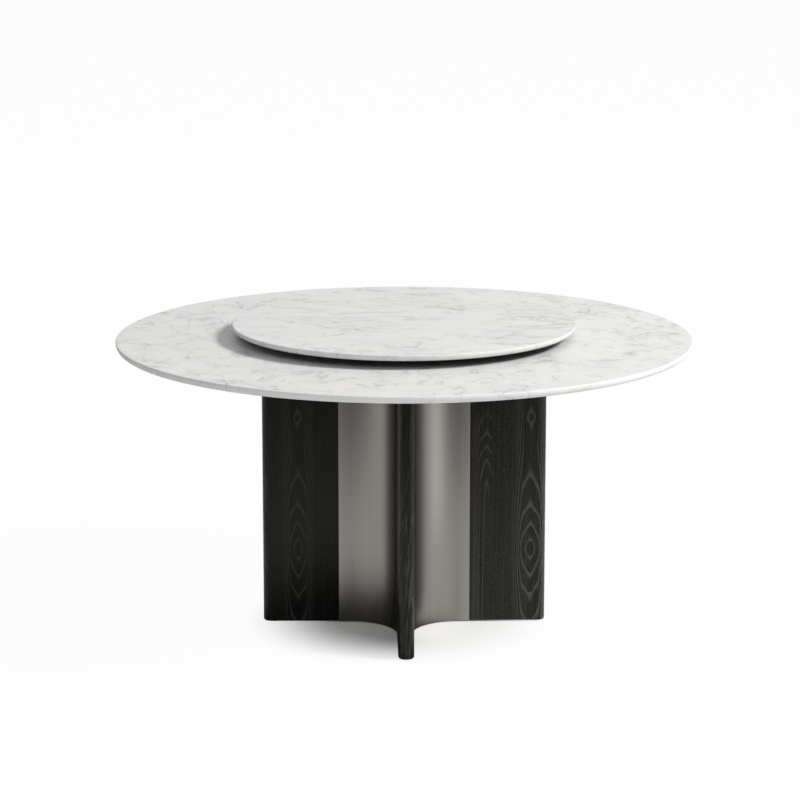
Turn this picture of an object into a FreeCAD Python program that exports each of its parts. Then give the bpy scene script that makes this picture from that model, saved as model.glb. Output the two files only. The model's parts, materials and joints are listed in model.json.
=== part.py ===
import FreeCAD, Part
import math
import os

# Round stone dining table with a turning stone disc on a cross-shaped pedestal.
# Millimetres. +Z is up, and the origin is on the floor under the table's centre.
# The front wing points to -Y.

# Heights
TABLE_HEIGHT = 768.0
GLIDE_HEIGHT = 2.0

# Stone table top
TOP_DIAMETER = 1500.0
TOP_THICKNESS = 20.0
TOP_UPPER_ROUND = 3.0
TOP_RIM_FLAT = 1.0

# Backing board bonded under the stone, and the steel plate bolted to it
BOARD_THICKNESS = 15.0
BOARD_OVERHANG = 110.0
BOARD_EDGE_ROUND = 3.0
PLATE_THICKNESS = 6.0
PLATE_OVERHANG = 17.0
PLATE_EDGE_CHAMFER = 1.0

# Bolts from the plate up into threaded inserts in the board
PLATE_BOLT_COUNT = 8
PLATE_BOLT_SPREAD_DEG = 20.0
PLATE_BOLT_INSET = 130.0
PLATE_BOLT_DIAMETER = 8.0
PLATE_BOLT_HEAD_WIDTH = 13.0
PLATE_BOLT_HEAD_HEIGHT = 5.3
PLATE_HOLE_DIAMETER = 9.0
WASHER_DIAMETER = 18.0
WASHER_THICKNESS = 1.6
INSERT_DIAMETER = 13.0
INSERT_LENGTH = 12.0
INSERT_FLOOR = 1.0

# Pedestal wings: a bent shell of black ash round a ladder frame
WING_THICKNESS = 41.0
WING_WOOD_LENGTH = 200.0
WING_NOSE_FLAT = 2.0
WING_BOTTOM_ROUND = 6.0
SHELL_THICKNESS = 9.0
FRAME_CORNER_EASE = 0.5
FRAME_STILE = 40.0
FRAME_RAIL = 46.0
SEAM_STILE = 30.0
SEAM_GAP = 0.5

# Pedestal coves: bent brushed sheet on a bent plywood backer, held by plywood ribs
COVE_RADIUS = 121.5
COVE_FLANGE = 31.0
SKIN_THICKNESS = 1.2
GLUE_LINE = 0.2
RIB_THICKNESS = 18.0
RIB_END_TRIM = 45.0

# Steel post in the middle of the pedestal
POST_WIDTH = 80.0
POST_WALL = 3.0
POST_CORNER_RADIUS = 6.0
FOOT_PLATE_THICKNESS = 6.0

# Bolts from each ladder frame into nuts welded inside the post
FRAME_BOLT_DIAMETER = 6.0
FRAME_BOLT_HEAD_DIAMETER = 10.0
FRAME_BOLT_HEAD_HEIGHT = 6.0
FRAME_BOLT_SOCKET_DIAMETER = 5.0
FRAME_BOLT_SOCKET_DEPTH = 3.0
FRAME_BOLT_INSET = 60.0
FRAME_BOLT_TIP = 2.0
WELD_NUT_WIDTH = 10.0
WELD_NUT_HEIGHT = 5.0

# Floor glides nailed into the frames' bottom rails
GLIDE_DIAMETER = 22.0
GLIDE_EDGE_ROUND = 0.8
GLIDE_PIN_DIAMETER = 5.0
GLIDE_PIN_LENGTH = 15.0

# Turning stone disc
DISC_DIAMETER = 895.0
DISC_THICKNESS = 16.0
DISC_UPPER_ROUND = 1.5
DISC_RIM_FLAT = 1.5

# Turntable bearing: two aluminium plates with a ring of balls between them
BEARING_RADIUS = 200.0
LOWER_PLATE_THICKNESS = 6.5
UPPER_PLATE_THICKNESS = 6.5
BEARING_GAP = 5.0
BEARING_EDGE_ROUND = 1.0
SKIRT_CLEARANCE = 1.0
SKIRT_WALL = 4.0
SKIRT_LIFT = 1.5
BALL_COUNT = 24
BALL_DIAMETER = 10.0
BALL_EDGE_DISTANCE = 30.0
BALL_CLEARANCE = 0.05
CAGE_WIDTH = 20.0
CAGE_THICKNESS = 2.4
CAGE_POCKET_CLEARANCE = 0.2

# Pads above and below the bearing
PAD_COUNT = 8
PAD_DIAMETER = 24.0
PAD_THICKNESS = 2.0
PAD_EDGE_DISTANCE = 36.0

# Pivot in the middle of the bearing
PIN_DIAMETER = 16.0
PIN_FOOT_DIAMETER = 26.0
PIN_TOP_CLEARANCE = 0.8
PIN_GROOVE_DEPTH = 1.2
BUSH_WALL = 3.0
BUSH_FLANGE_WIDTH = 5.0
BUSH_FLANGE_THICKNESS = 1.0
BUSH_RUNNING_CLEARANCE = 0.05
RECESS_DIAMETER = 48.0
RECESS_DEPTH = 3.0
THRUST_WASHER_WIDTH = 7.0
THRUST_WASHER_THICKNESS = 0.8
CLIP_WIDTH = 4.0
CLIP_THICKNESS = 1.0
CLIP_OPENING_DEG = 50.0
AXIAL_CLEARANCE = 0.1

# Shared fits and cutting overrun
HOLE_CLEARANCE = 0.1
OVERRUN = 5.0
EDGE_TOLERANCE = 0.001

# Directions of the wings and of the coves between them, in degrees from +X
WING_ANGLES = {"right": 0.0, "back": 90.0, "left": 180.0, "front": 270.0}
COVE_ANGLES = {"back_right": 0.0, "back_left": 90.0, "front_left": 180.0, "front_right": 270.0}
HEX_SIDES = 6

# Places worked out from the sizes above
pedestal_bottom = GLIDE_HEIGHT
top_underside = TABLE_HEIGHT - TOP_THICKNESS
top_lower_round = TOP_THICKNESS - TOP_UPPER_ROUND - TOP_RIM_FLAT
board_underside = top_underside - BOARD_THICKNESS
pedestal_top = board_underside - PLATE_THICKNESS
pedestal_height = pedestal_top - pedestal_bottom

wing_half = WING_THICKNESS / 2
frame_half = wing_half - SHELL_THICKNESS
nose_radius = wing_half - WING_NOSE_FLAT / 2
shell_inner_radius = nose_radius - SHELL_THICKNESS
frame_corner_radius = shell_inner_radius + FRAME_CORNER_EASE
cove_tangent = wing_half + COVE_RADIUS
seam_reach = cove_tangent + COVE_FLANGE
wing_reach = seam_reach + WING_WOOD_LENGTH
shell_inner_reach = wing_reach - SHELL_THICKNESS
post_half = POST_WIDTH / 2
plate_radius = wing_reach + PLATE_OVERHANG
board_radius = plate_radius + BOARD_OVERHANG
bolt_circle_radius = plate_radius - PLATE_BOLT_INSET

lower_plate_bottom = TABLE_HEIGHT + PAD_THICKNESS
lower_plate_top = lower_plate_bottom + LOWER_PLATE_THICKNESS
upper_plate_bottom = lower_plate_top + BEARING_GAP
upper_plate_top = upper_plate_bottom + UPPER_PLATE_THICKNESS
disc_bottom = upper_plate_top + PAD_THICKNESS
disc_lower_round = DISC_THICKNESS - DISC_UPPER_ROUND - DISC_RIM_FLAT
ball_height = (lower_plate_top + upper_plate_bottom) / 2
ball_pitch_radius = BEARING_RADIUS - BALL_EDGE_DISTANCE
pad_pitch_radius = BEARING_RADIUS - PAD_EDGE_DISTANCE
recess_floor = upper_plate_top - RECESS_DEPTH
bush_top = recess_floor + BUSH_FLANGE_THICKNESS
washer_bottom = bush_top + AXIAL_CLEARANCE
groove_bottom = washer_bottom + THRUST_WASHER_THICKNESS
groove_height = CLIP_THICKNESS + 2 * AXIAL_CLEARANCE

UP = FreeCAD.Vector(0, 0, 1)
CENTRE = FreeCAD.Vector(0, 0, 0)


def at(x, y, z):
    return FreeCAD.Vector(x, y, z)


def turned(shape, degrees):
    copy = shape.copy()
    copy.rotate(CENTRE, UP, degrees)
    return copy


def polar(radius, degrees, z):
    angle = math.radians(degrees)
    return at(radius * math.cos(angle), radius * math.sin(angle), z)


def cylinder(radius, bottom, top, centre=CENTRE):
    return Part.makeCylinder(radius, top - bottom, at(centre.x, centre.y, bottom))


def ring(outer_radius, inner_radius, bottom, top):
    bore = cylinder(inner_radius, bottom - OVERRUN, top + OVERRUN)
    return cylinder(outer_radius, bottom, top).cut(bore)


def block(low, high):
    size = high - low
    return Part.makeBox(size.x, size.y, size.z, low)


def edges_at_height(shape, z):
    return [
        edge
        for edge in shape.Edges
        if abs(edge.BoundBox.ZMin - z) < EDGE_TOLERANCE and abs(edge.BoundBox.ZMax - z) < EDGE_TOLERANCE
    ]


def hexagon(width, bottom, top):
    corner_radius = width / 2 / math.cos(math.pi / HEX_SIDES)
    corners = [polar(corner_radius, side * 360 / HEX_SIDES, bottom) for side in range(HEX_SIDES)]
    wire = Part.makePolygon(corners + corners[:1])
    return Part.Face(wire).extrude(at(0, 0, top - bottom))


def corner_arc(centre_x, centre_y, radius, start_deg, end_deg, z):
    points = []
    for degrees in (start_deg, (start_deg + end_deg) / 2, end_deg):
        points.append(at(centre_x, centre_y, 0) + polar(radius, degrees, z))
    return Part.Arc(*points).toShape()


def line(start, end):
    return Part.LineSegment(start, end).toShape()


def save(shape, node):
    shape.exportStep(os.path.join("parts", node + ".step"))
    print(node, "solids", len(shape.Solids), "volume", round(shape.Volume), "valid", shape.isValid())


# Stone discs

def make_stone_disc(diameter, bottom, top, upper_round, lower_round):
    disc = cylinder(diameter / 2, bottom, top)
    disc = disc.makeFillet(upper_round, edges_at_height(disc, top))
    return disc.makeFillet(lower_round, edges_at_height(disc, bottom))


def make_table_top():
    return make_stone_disc(TOP_DIAMETER, top_underside, TABLE_HEIGHT, TOP_UPPER_ROUND, top_lower_round)


def make_turntable_disc():
    disc_top = disc_bottom + DISC_THICKNESS
    return make_stone_disc(DISC_DIAMETER, disc_bottom, disc_top, DISC_UPPER_ROUND, disc_lower_round)


# Backing board, mounting plate and the bolts between them

def plate_bolt_places():
    quadrants = PLATE_BOLT_COUNT // 2
    places = []
    for quadrant in range(quadrants):
        middle = (quadrant + 0.5) * 360 / quadrants
        for side in (-1, 1):
            places.append(polar(bolt_circle_radius, middle + side * PLATE_BOLT_SPREAD_DEG, 0))
    return places


def make_backing_board():
    board = cylinder(board_radius, board_underside, top_underside)
    board = board.makeFillet(BOARD_EDGE_ROUND, edges_at_height(board, board_underside))
    pocket_top = board_underside + INSERT_LENGTH + INSERT_FLOOR
    for place in plate_bolt_places():
        pocket_radius = INSERT_DIAMETER / 2 + HOLE_CLEARANCE
        board = board.cut(cylinder(pocket_radius, board_underside - OVERRUN, pocket_top, place))
    return board


def make_insert_nuts():
    nut = ring(
        INSERT_DIAMETER / 2,
        PLATE_BOLT_DIAMETER / 2 + HOLE_CLEARANCE,
        board_underside,
        board_underside + INSERT_LENGTH,
    )
    return Part.makeCompound([nut.translated(place) for place in plate_bolt_places()])


def make_mounting_plate():
    plate = cylinder(plate_radius, pedestal_top, board_underside)
    plate = plate.makeChamfer(PLATE_EDGE_CHAMFER, edges_at_height(plate, pedestal_top))
    for place in plate_bolt_places():
        hole = cylinder(PLATE_HOLE_DIAMETER / 2, pedestal_top - OVERRUN, board_underside + OVERRUN, place)
        plate = plate.cut(hole)
    return plate


def make_plate_bolts():
    head_top = pedestal_top - WASHER_THICKNESS
    head = hexagon(PLATE_BOLT_HEAD_WIDTH, head_top - PLATE_BOLT_HEAD_HEIGHT, head_top)
    shank = cylinder(PLATE_BOLT_DIAMETER / 2, head_top, board_underside + INSERT_LENGTH)
    bolt = head.fuse(shank).removeSplitter()
    return Part.makeCompound([bolt.translated(place) for place in plate_bolt_places()])


def make_plate_washers():
    washer = ring(
        WASHER_DIAMETER / 2,
        PLATE_BOLT_DIAMETER / 2 + HOLE_CLEARANCE,
        pedestal_top - WASHER_THICKNESS,
        pedestal_top,
    )
    return Part.makeCompound([washer.translated(place) for place in plate_bolt_places()])


# Steel post, its foot plate and the nuts welded inside it

def window_heights():
    middle = pedestal_bottom + pedestal_height / 2
    lower = (pedestal_bottom + FRAME_RAIL, middle - FRAME_RAIL / 2)
    upper = (middle + FRAME_RAIL / 2, pedestal_top - FRAME_RAIL)
    return [lower, upper]


def frame_bolt_heights():
    heights = []
    for bottom, top in window_heights():
        heights += [bottom + FRAME_BOLT_INSET, top - FRAME_BOLT_INSET]
    return heights


def lying_cylinder(radius, start, end, z):
    return Part.makeCylinder(radius, end - start, at(start, 0, z), at(1, 0, 0))


def rounded_column(half_width, corner_radius, bottom, top):
    inset = half_width - corner_radius
    edges = []
    for quarter in range(4):
        start = quarter * 90
        corner = polar(inset * math.sqrt(2), start + 45, 0)
        next_corner = polar(inset * math.sqrt(2), start + 135, 0)
        edges.append(corner_arc(corner.x, corner.y, corner_radius, start, start + 90, bottom))
        edges.append(
            line(
                corner + polar(corner_radius, start + 90, bottom),
                next_corner + polar(corner_radius, start + 90, bottom),
            )
        )
    return Part.Face(Part.Wire(edges)).extrude(at(0, 0, top - bottom))


def make_centre_post():
    bottom = pedestal_bottom + FOOT_PLATE_THICKNESS
    post = rounded_column(post_half, POST_CORNER_RADIUS, bottom, pedestal_top)
    hollow = rounded_column(
        post_half - POST_WALL,
        POST_CORNER_RADIUS - POST_WALL,
        bottom - OVERRUN,
        pedestal_top + OVERRUN,
    )
    post = post.cut(hollow)
    hole_radius = FRAME_BOLT_DIAMETER / 2 + HOLE_CLEARANCE
    for z in frame_bolt_heights():
        hole = lying_cylinder(hole_radius, post_half - POST_WALL - OVERRUN, post_half + OVERRUN, z)
        for degrees in WING_ANGLES.values():
            post = post.cut(turned(hole, degrees))
    return post


def make_foot_plate():
    top = pedestal_bottom + FOOT_PLATE_THICKNESS
    return rounded_column(post_half, POST_CORNER_RADIUS, pedestal_bottom, top)


def make_weld_nuts():
    nut = hexagon(WELD_NUT_WIDTH, 0, WELD_NUT_HEIGHT)
    nut = nut.cut(cylinder(FRAME_BOLT_DIAMETER / 2 + HOLE_CLEARANCE, -OVERRUN, WELD_NUT_HEIGHT + OVERRUN))
    nut.rotate(CENTRE, at(0, 1, 0), 90)
    nuts = []
    for degrees in WING_ANGLES.values():
        for z in frame_bolt_heights():
            seated = nut.translated(at(post_half - POST_WALL - WELD_NUT_HEIGHT, 0, z))
            nuts.append(turned(seated, degrees))
    return Part.makeCompound(nuts)


def make_frame_bolts():
    tip = post_half - POST_WALL - WELD_NUT_HEIGHT - FRAME_BOLT_TIP
    seat = post_half + FRAME_STILE
    head_end = seat + FRAME_BOLT_HEAD_HEIGHT
    bolts = []
    for z in frame_bolt_heights():
        shank = lying_cylinder(FRAME_BOLT_DIAMETER / 2, tip, seat, z)
        head = lying_cylinder(FRAME_BOLT_HEAD_DIAMETER / 2, seat, head_end, z)
        socket_start = head_end - FRAME_BOLT_SOCKET_DEPTH
        socket = lying_cylinder(FRAME_BOLT_SOCKET_DIAMETER / 2, socket_start, head_end + OVERRUN, z)
        bolt = shank.fuse(head).removeSplitter().cut(socket)
        bolts += [turned(bolt, degrees) for degrees in WING_ANGLES.values()]
    return Part.makeCompound(bolts)


# Wings: bent shells and ladder frames

def nosed_panel(start, end, half, radius, bottom, top):
    # A panel along +X that is square at its start and has two rounded corners at its end
    inset = half - radius
    edges = [
        line(at(start, -half, bottom), at(end - radius, -half, bottom)),
        corner_arc(end - radius, -inset, radius, -90, 0, bottom),
        line(at(end, -inset, bottom), at(end, inset, bottom)),
        corner_arc(end - radius, inset, radius, 0, 90, bottom),
        line(at(end - radius, half, bottom), at(start, half, bottom)),
        line(at(start, half, bottom), at(start, -half, bottom)),
    ]
    return Part.Face(Part.Wire(edges)).extrude(at(0, 0, top - bottom))


def make_wing_shell(degrees):
    start = seam_reach + SEAM_GAP / 2
    shell = nosed_panel(start, wing_reach, wing_half, nose_radius, pedestal_bottom, pedestal_top)
    bottom_edges = edges_at_height(shell, pedestal_bottom)
    outer_edges = [edge for edge in bottom_edges if edge.BoundBox.XMax > start + EDGE_TOLERANCE]
    shell = shell.makeFillet(WING_BOTTOM_ROUND, outer_edges)
    hollow = nosed_panel(
        start - OVERRUN,
        shell_inner_reach,
        frame_half,
        shell_inner_radius,
        pedestal_bottom - OVERRUN,
        pedestal_top + OVERRUN,
    )
    return turned(shell.cut(hollow), degrees)


def glide_reaches():
    return [(post_half + shell_inner_reach) / 2, shell_inner_reach - FRAME_STILE / 2]


def make_wing_frame(degrees):
    frame = nosed_panel(
        post_half, shell_inner_reach, frame_half, frame_corner_radius, pedestal_bottom, pedestal_top
    )
    # The middle stile lies behind the seam between the shell and the coves
    window_start = post_half + FRAME_STILE
    window_end = shell_inner_reach - FRAME_STILE
    spans = [(window_start, seam_reach - SEAM_STILE / 2), (seam_reach + SEAM_STILE / 2, window_end)]
    for bottom, top in window_heights():
        for start, end in spans:
            low = at(start, -frame_half - OVERRUN, bottom)
            high = at(end, frame_half + OVERRUN, top)
            frame = frame.cut(block(low, high))
    for z in frame_bolt_heights():
        hole_radius = FRAME_BOLT_DIAMETER / 2 + HOLE_CLEARANCE
        frame = frame.cut(lying_cylinder(hole_radius, post_half - OVERRUN, window_start + OVERRUN, z))
    for reach in glide_reaches():
        hole_top = pedestal_bottom + GLIDE_PIN_LENGTH + HOLE_CLEARANCE
        hole_radius = GLIDE_PIN_DIAMETER / 2 + HOLE_CLEARANCE
        frame = frame.cut(cylinder(hole_radius, pedestal_bottom - OVERRUN, hole_top, at(reach, 0, 0)))
    return turned(frame, degrees)


def make_floor_glides():
    foot = cylinder(GLIDE_DIAMETER / 2, 0, pedestal_bottom)
    foot = foot.makeFillet(GLIDE_EDGE_ROUND, edges_at_height(foot, 0))
    pin = cylinder(GLIDE_PIN_DIAMETER / 2, pedestal_bottom, pedestal_bottom + GLIDE_PIN_LENGTH)
    glide = foot.fuse(pin).removeSplitter()
    glides = []
    for degrees in WING_ANGLES.values():
        for reach in glide_reaches():
            glides.append(turned(glide.translated(at(reach, 0, 0)), degrees))
    return Part.makeCompound(glides)


# Coves: bent sheet on a bent backer, in the corner between +X and +Y before turning

def bent_sheet(outer_offset, inner_offset):
    # Both offsets are measured inwards from the pedestal's outer face
    end = seam_reach - SEAM_GAP / 2
    bottom = pedestal_bottom
    outer = wing_half - outer_offset
    inner = wing_half - inner_offset
    outer_radius = COVE_RADIUS + outer_offset
    inner_radius = COVE_RADIUS + inner_offset
    edges = [
        line(at(end, outer, bottom), at(cove_tangent, outer, bottom)),
        corner_arc(cove_tangent, cove_tangent, outer_radius, 270, 180, bottom),
        line(at(outer, cove_tangent, bottom), at(outer, end, bottom)),
        line(at(outer, end, bottom), at(inner, end, bottom)),
        line(at(inner, end, bottom), at(inner, cove_tangent, bottom)),
        corner_arc(cove_tangent, cove_tangent, inner_radius, 180, 270, bottom),
        line(at(cove_tangent, inner, bottom), at(end, inner, bottom)),
        line(at(end, inner, bottom), at(end, outer, bottom)),
    ]
    return Part.Face(Part.Wire(edges)).extrude(at(0, 0, pedestal_height))


def make_cove_skin(degrees):
    return turned(bent_sheet(0, SKIN_THICKNESS), degrees)


def make_cove_backer(degrees):
    return turned(bent_sheet(SKIN_THICKNESS + GLUE_LINE, SHELL_THICKNESS), degrees)


def make_cove_ribs(degrees):
    # Each rib fills the corner between two frames, the post and the backer's rear face
    reach = cove_tangent - RIB_END_TRIM
    radius = COVE_RADIUS + SHELL_THICKNESS + GLUE_LINE
    end_deg = math.degrees(math.acos(RIB_END_TRIM / radius))
    tip = cove_tangent - radius * math.sin(math.radians(end_deg))
    outline = [
        line(at(post_half, frame_half, 0), at(reach, frame_half, 0)),
        line(at(reach, frame_half, 0), at(reach, tip, 0)),
        corner_arc(cove_tangent, cove_tangent, radius, 180 + end_deg, 270 - end_deg, 0),
        line(at(tip, reach, 0), at(frame_half, reach, 0)),
        line(at(frame_half, reach, 0), at(frame_half, post_half, 0)),
        line(at(frame_half, post_half, 0), at(post_half, post_half, 0)),
        line(at(post_half, post_half, 0), at(post_half, frame_half, 0)),
    ]
    rib = Part.Face(Part.Wire(outline)).extrude(at(0, 0, RIB_THICKNESS))
    middle = pedestal_bottom + (pedestal_height - RIB_THICKNESS) / 2
    heights = [pedestal_bottom, middle, pedestal_top - RIB_THICKNESS]
    return turned(Part.makeCompound([rib.translated(at(0, 0, z)) for z in heights]), degrees)


# Turntable bearing

def ball_groove():
    return Part.makeTorus(ball_pitch_radius, BALL_DIAMETER / 2 + BALL_CLEARANCE, at(0, 0, ball_height))


def make_lower_plate():
    plate = cylinder(BEARING_RADIUS, lower_plate_bottom, lower_plate_top)
    plate = plate.makeFillet(BEARING_EDGE_ROUND, edges_at_height(plate, lower_plate_top))
    bore_radius = PIN_FOOT_DIAMETER / 2 + HOLE_CLEARANCE
    plate = plate.cut(cylinder(bore_radius, lower_plate_bottom - OVERRUN, lower_plate_top + OVERRUN))
    return plate.cut(ball_groove())


def make_upper_plate():
    skirt_inner = BEARING_RADIUS + SKIRT_CLEARANCE
    skirt_outer = skirt_inner + SKIRT_WALL
    skirt_bottom = lower_plate_bottom + SKIRT_LIFT
    cap = cylinder(skirt_outer, skirt_bottom, upper_plate_top)
    cap = cap.makeFillet(BEARING_EDGE_ROUND, edges_at_height(cap, upper_plate_top))
    plate = cap.cut(cylinder(skirt_inner, skirt_bottom - OVERRUN, upper_plate_bottom))
    plate = plate.cut(cylinder(RECESS_DIAMETER / 2, recess_floor, upper_plate_top + OVERRUN))
    bush_seat = PIN_DIAMETER / 2 + BUSH_RUNNING_CLEARANCE + BUSH_WALL + HOLE_CLEARANCE
    plate = plate.cut(cylinder(bush_seat, upper_plate_bottom - OVERRUN, upper_plate_top))
    return plate.cut(ball_groove())


def make_bearing_balls():
    balls = []
    for index in range(BALL_COUNT):
        place = polar(ball_pitch_radius, index * 360 / BALL_COUNT, ball_height)
        balls.append(Part.makeSphere(BALL_DIAMETER / 2, place))
    return Part.makeCompound(balls)


def make_ball_cage():
    bottom = ball_height - CAGE_THICKNESS / 2
    top = ball_height + CAGE_THICKNESS / 2
    cage = ring(ball_pitch_radius + CAGE_WIDTH / 2, ball_pitch_radius - CAGE_WIDTH / 2, bottom, top)
    pocket_radius = BALL_DIAMETER / 2 + CAGE_POCKET_CLEARANCE
    for index in range(BALL_COUNT):
        place = polar(ball_pitch_radius, index * 360 / BALL_COUNT, 0)
        cage = cage.cut(cylinder(pocket_radius, bottom - OVERRUN, top + OVERRUN, place))
    return cage


def make_pads(bottom):
    pads = []
    for index in range(PAD_COUNT):
        place = polar(pad_pitch_radius, (index + 0.5) * 360 / PAD_COUNT, 0)
        pads.append(cylinder(PAD_DIAMETER / 2, bottom, bottom + PAD_THICKNESS, place))
    return Part.makeCompound(pads)


# Pivot

def make_king_pin():
    foot = cylinder(PIN_FOOT_DIAMETER / 2, lower_plate_bottom, lower_plate_top)
    stem = cylinder(PIN_DIAMETER / 2, lower_plate_top, disc_bottom - PIN_TOP_CLEARANCE)
    pin = foot.fuse(stem).removeSplitter()
    groove_radius = PIN_DIAMETER / 2 - PIN_GROOVE_DEPTH
    return pin.cut(ring(PIN_DIAMETER, groove_radius, groove_bottom, groove_bottom + groove_height))


def make_pivot_bush():
    bore_radius = PIN_DIAMETER / 2 + BUSH_RUNNING_CLEARANCE
    outer_radius = bore_radius + BUSH_WALL
    sleeve = cylinder(outer_radius, upper_plate_bottom, recess_floor)
    flange = cylinder(outer_radius + BUSH_FLANGE_WIDTH, recess_floor, bush_top)
    bush = sleeve.fuse(flange).removeSplitter()
    return bush.cut(cylinder(bore_radius, upper_plate_bottom - OVERRUN, bush_top + OVERRUN))


def make_thrust_washer():
    bore_radius = PIN_DIAMETER / 2 + HOLE_CLEARANCE
    return ring(bore_radius + THRUST_WASHER_WIDTH, bore_radius, washer_bottom, groove_bottom)


def make_retaining_clip():
    bore_radius = PIN_DIAMETER / 2 - PIN_GROOVE_DEPTH + HOLE_CLEARANCE
    bottom = groove_bottom + AXIAL_CLEARANCE
    clip = ring(bore_radius + CLIP_WIDTH, bore_radius, bottom, bottom + CLIP_THICKNESS)
    reach = bore_radius + CLIP_WIDTH + OVERRUN
    half_opening = CLIP_OPENING_DEG / 2
    corners = [at(0, 0, bottom), polar(reach, -half_opening, bottom), polar(reach, half_opening, bottom)]
    wedge = Part.Face(Part.makePolygon(corners + corners[:1])).extrude(at(0, 0, CLIP_THICKNESS))
    return clip.cut(wedge)


def main():
    os.makedirs("parts", exist_ok=True)
    save(make_table_top(), "table_top")
    save(make_backing_board(), "backing_board")
    save(make_insert_nuts(), "insert_nuts")
    save(make_mounting_plate(), "mounting_plate")
    save(make_plate_bolts(), "plate_bolts")
    save(make_plate_washers(), "plate_washers")
    save(make_centre_post(), "centre_post")
    save(make_foot_plate(), "foot_plate")
    save(make_weld_nuts(), "weld_nuts")
    save(make_frame_bolts(), "frame_bolts")
    for side, degrees in WING_ANGLES.items():
        save(make_wing_shell(degrees), "wing_" + side + "_shell")
        save(make_wing_frame(degrees), "wing_" + side + "_frame")
    for corner, degrees in COVE_ANGLES.items():
        save(make_cove_skin(degrees), "cove_" + corner + "_skin")
        save(make_cove_backer(degrees), "cove_" + corner + "_backer")
        save(make_cove_ribs(degrees), "cove_" + corner + "_ribs")
    save(make_floor_glides(), "floor_glides")
    save(make_pads(TABLE_HEIGHT), "base_pads")
    save(make_lower_plate(), "bearing_lower_plate")
    save(make_king_pin(), "king_pin")
    save(make_bearing_balls(), "bearing_balls")
    save(make_ball_cage(), "ball_cage")
    save(make_upper_plate(), "bearing_upper_plate")
    save(make_pivot_bush(), "pivot_bush")
    save(make_thrust_washer(), "thrust_washer")
    save(make_retaining_clip(), "retaining_clip")
    save(make_pads(upper_plate_top), "disc_pads")
    save(make_turntable_disc(), "turntable_disc")


main()
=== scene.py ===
import bpy
import bmesh
import json
import math
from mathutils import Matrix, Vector


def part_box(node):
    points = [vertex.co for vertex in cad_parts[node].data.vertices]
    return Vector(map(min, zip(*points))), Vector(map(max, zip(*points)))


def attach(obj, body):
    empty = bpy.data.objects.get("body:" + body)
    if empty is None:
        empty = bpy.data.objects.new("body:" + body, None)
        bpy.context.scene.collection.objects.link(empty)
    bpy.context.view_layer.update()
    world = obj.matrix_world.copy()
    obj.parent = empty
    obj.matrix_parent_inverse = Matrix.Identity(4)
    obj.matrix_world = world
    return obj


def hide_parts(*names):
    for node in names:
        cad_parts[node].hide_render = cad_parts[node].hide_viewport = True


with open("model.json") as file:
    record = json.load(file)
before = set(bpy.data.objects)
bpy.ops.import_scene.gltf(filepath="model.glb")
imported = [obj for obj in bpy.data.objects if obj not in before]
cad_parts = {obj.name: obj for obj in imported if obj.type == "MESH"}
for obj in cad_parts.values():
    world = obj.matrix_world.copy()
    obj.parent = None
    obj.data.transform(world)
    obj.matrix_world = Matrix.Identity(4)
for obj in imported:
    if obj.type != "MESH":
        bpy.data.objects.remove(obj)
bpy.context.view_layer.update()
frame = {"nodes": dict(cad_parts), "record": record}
print("frame loaded with", len(frame["nodes"]), "nodes")


# camera and light

viewpoint = {
    "lens": 132.5,            # on the usual 36 mm sensor
    "place": (-0.1175, -7.542, 2.226),
    "lookDown": 12.18,        # degrees
    "lookRight": 0.81,
    "farthest": 500,          # past the floor's far edge
}

studio = {
    "keyTurn": 73,            # degrees from the front towards the right
    "keyRise": 42,            # degrees above the floor
    "keyAway": 11.5,
    "keyAcross": 3.3,         # wide enough for soft shadow edges
    "keyPower": 1140,
    "keyTint": (1.0, 0.995, 0.985),
    "panels": [
        # low box on the right, which the metal mirrors, then a broad weak one high in front
        {"place": (0.92, -0.64, 0.30), "size": (0.72, 0.6), "spread": 70, "power": 0.21},
        {"place": (0.4, -5.4, 4.0), "size": (4.0, 1.6), "spread": 180, "power": 68},
    ],
    "white": (1, 1, 1, 1),
    "fill": 0.29,             # the room's light on the object
    "backdrop": 1.0,
    "floorSize": 240,
    "floorTint": (0.95, 0.95, 0.945, 1),
    "floorBounce": (0.82, 0.82, 0.82, 1),        # how much light the floor throws back up
    # painted shadow: the floor as the metal mirrors it is near black near the base, away from the lamp
    "mirroredFloorShade": (0.06, 0.06, 0.06, 1),
    "shadow": (0.15, 0.44),   # the floor's shadow is whole inside this radius, and faint outside this one
    "mirrored": (0.29, 0.66), # the same for the painted shadow that the metal shows of it, on the side away from the lamp
    "lampSide": (0.0, 0.2),   # where the side towards the lamp begins, along X
    "shadowLift": 0.97,
    "dim": (1.3, 2.4),        # painted shade: the floor that the metal mirrors grows darker this far in front
    "dimTint": (0.12, 0.12, 0.12, 1),
}


def aimFrom(turn, rise):      # unit vector from the object towards a light
    flat = math.cos(math.radians(rise))
    around = math.radians(turn)
    return Vector((flat * math.sin(around), -flat * math.cos(around), math.sin(math.radians(rise))))


def setCamera():
    bpy.ops.object.camera_add(
        location=viewpoint["place"],
        rotation=(math.radians(90 - viewpoint["lookDown"]), 0, math.radians(-viewpoint["lookRight"])),
    )
    camera = bpy.context.object
    camera.data.lens = viewpoint["lens"]
    camera.data.clip_end = viewpoint["farthest"]
    bpy.context.scene.camera = camera


def setKey():                 # the main lamp, near enough for the far side to be a little darker
    towards = aimFrom(studio["keyTurn"], studio["keyRise"])
    bpy.ops.object.light_add(type="AREA", location=towards * studio["keyAway"])
    lamp = bpy.context.object
    lamp.rotation_euler = towards.to_track_quat("Z", "Y").to_euler()
    lamp.data.shape = "DISK"
    lamp.data.size = studio["keyAcross"]
    lamp.data.energy = studio["keyPower"]
    lamp.data.color = studio["keyTint"]
    lamp.visible_camera = False


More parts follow.
